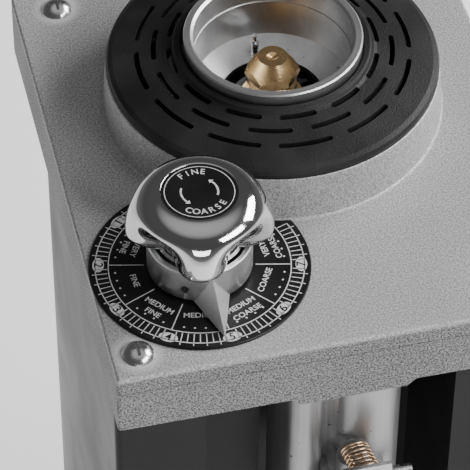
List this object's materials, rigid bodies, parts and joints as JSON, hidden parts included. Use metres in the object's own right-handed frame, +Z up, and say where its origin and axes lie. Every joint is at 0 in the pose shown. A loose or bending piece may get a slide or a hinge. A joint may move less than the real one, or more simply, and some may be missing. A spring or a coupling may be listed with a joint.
{
  "type": "burr coffee grinder",
  "caption": "Burr coffee grinder without hopper: adjusting knob and dial on a cast top plate, open throat, motor and burrs in a black body, bag recess and sprung bag clamp.",
  "frame": {"origin": "on the floor plane under the middle of the base's box", "axes": "+Z up, -Y towards the front with the bag recess, +X to the right seen from the front"},
  "size_m": [0.172, 0.24, 0.4185],
  "materials": {
    "base_paint": "satin black",
    "sheet_black": "satin black",
    "cast_silver": "grainy silver",
    "rubber_black": "matt",
    "steel_zinc": "zinc plated",
    "screw_steel": "bright plated",
    "raw_aluminium": "machined",
    "shield_aluminium": "as cast",
    "burr_steel": "ground",
    "black_plastic": "fine texture",
    "dark_carrier": "dark",
    "core_steel": "laminated",
    "copper_wire": "copper coated",
    "brass": "turned",
    "dial_black": "black anodised",
    "chrome": "polished",
    "satin_collar": "satin"
  },
  "bodies": {
    "housing": {"base_casting": "base_paint", "base_cover": "steel_zinc", "feet": "rubber_black", "foot_screws": "steel_zinc", "top_plate": "cast_silver", "plate_screws": "screw_steel", "chassis_plate": "steel_zinc", "corner_posts": "steel_zinc", "body_shell": "sheet_black", "recess_panel": "sheet_black", "recess_panel_screws": "steel_zinc", "throat": "raw_aluminium", "throat_screws": "steel_zinc", "hopper_pin": "burr_steel", "upper_burr": "burr_steel", "upper_burr_screws": "steel_zinc", "grinding_chamber": "raw_aluminium", "vented_cover": "black_plastic", "upper_shield": "shield_aluminium", "lower_shield": "shield_aluminium", "stator_core": "core_steel", "stator_windings": "copper_wire", "motor_bolts": "steel_zinc", "motor_spacers": "steel_zinc", "knob_bush": "brass", "dial_plate": "dial_black", "shaft_foot_bracket": "steel_zinc", "fulcrum_bracket": "steel_zinc", "fulcrum_pin": "burr_steel", "chute": "raw_aluminium", "clamp_pin": "burr_steel", "clamp_pin_clips": "steel_zinc", "clamp_spring": "copper_wire", "switch_frame": "black_plastic", "capacitor": "black_plastic", "terminal_block": "black_plastic", "cable_gland": "black_plastic"},
    "knob": {"adjusting_shaft": "burr_steel", "shaft_clips": "steel_zinc", "pointer_collar": "satin_collar", "collar_set_screws": "steel_zinc", "knob_cap": "chrome", "knob_label": "dial_black"},
    "nut": {"travelling_nut": "brass"},
    "lever": {"lift_lever": "burr_steel"},
    "lift": {"thrust_cap": "burr_steel", "bearing_outer_races": "burr_steel"},
    "rotor": {"motor_shaft": "burr_steel", "rotor_core": "core_steel", "bearing_inner_races": "burr_steel", "cooling_fan": "black_plastic", "lower_burr_carrier": "dark_carrier", "lower_burr": "burr_steel", "lower_burr_screws": "steel_zinc", "carrier_washer": "brass", "lock_nut": "brass", "cap_nut": "brass"},
    "clamp": {"clamp_lever": "burr_steel", "clamp_pad": "rubber_black"},
    "rocker": {"switch_rocker": "black_plastic"}
  },
  "joints": [
    {"name": "knob_turn", "type": "hinge", "parent": "housing", "child": "knob", "pos_m": [-0.0459, -0.046, 0.38], "axis": [0, 0, 1], "range_deg": [-175, 112]},
    {"name": "nut_travel", "type": "slide", "parent": "housing", "child": "nut", "axis": [0, 0, 1], "range_m": [-0.00054, 0.00085]},
    {"name": "lever_tilt", "type": "hinge", "parent": "housing", "child": "lever", "pos_m": [0.02295, 0.07189, 0.2004], "axis": [-0.8635, 0.5043, 0], "range_deg": [-0.2379, 0.3665]},
    {"name": "burr_lift", "type": "slide", "parent": "housing", "child": "lift", "axis": [0, 0, 1], "range_m": [-0.0002, 0.000302], "stiffness_N_per_m": 100, "springref_m": 0.1674},
    {"name": "rotor_spin", "type": "hinge", "parent": "lift", "child": "rotor", "pos_m": [0, 0.0326, 0.38], "axis": [0, 0, 1], "continuous": true},
    {"name": "clamp_open", "type": "hinge", "parent": "housing", "child": "clamp", "pos_m": [0.0026, -0.09, 0.2995], "axis": [-1, 0, 0], "range_deg": [0, 12], "stiffness_Nm_per_rad": 0.6, "springref_deg": -14.32, "deforming": ["clamp_spring"]},
    {"name": "rocker_tip", "type": "hinge", "parent": "housing", "child": "rocker", "pos_m": [0.063, -0.0822, 0.3], "axis": [1, 0, 0], "range_deg": [-14, 0]}
  ],
  "couplings": [
    {"joint": "knob_turn", "follows": "nut_travel", "rad_per_m": -3590.4},
    {"joint": "lever_tilt", "follows": "nut_travel", "rad_per_m": 7.3249},
    {"joint": "burr_lift", "follows": "nut_travel", "ratio": 0.33328}
  ]
}
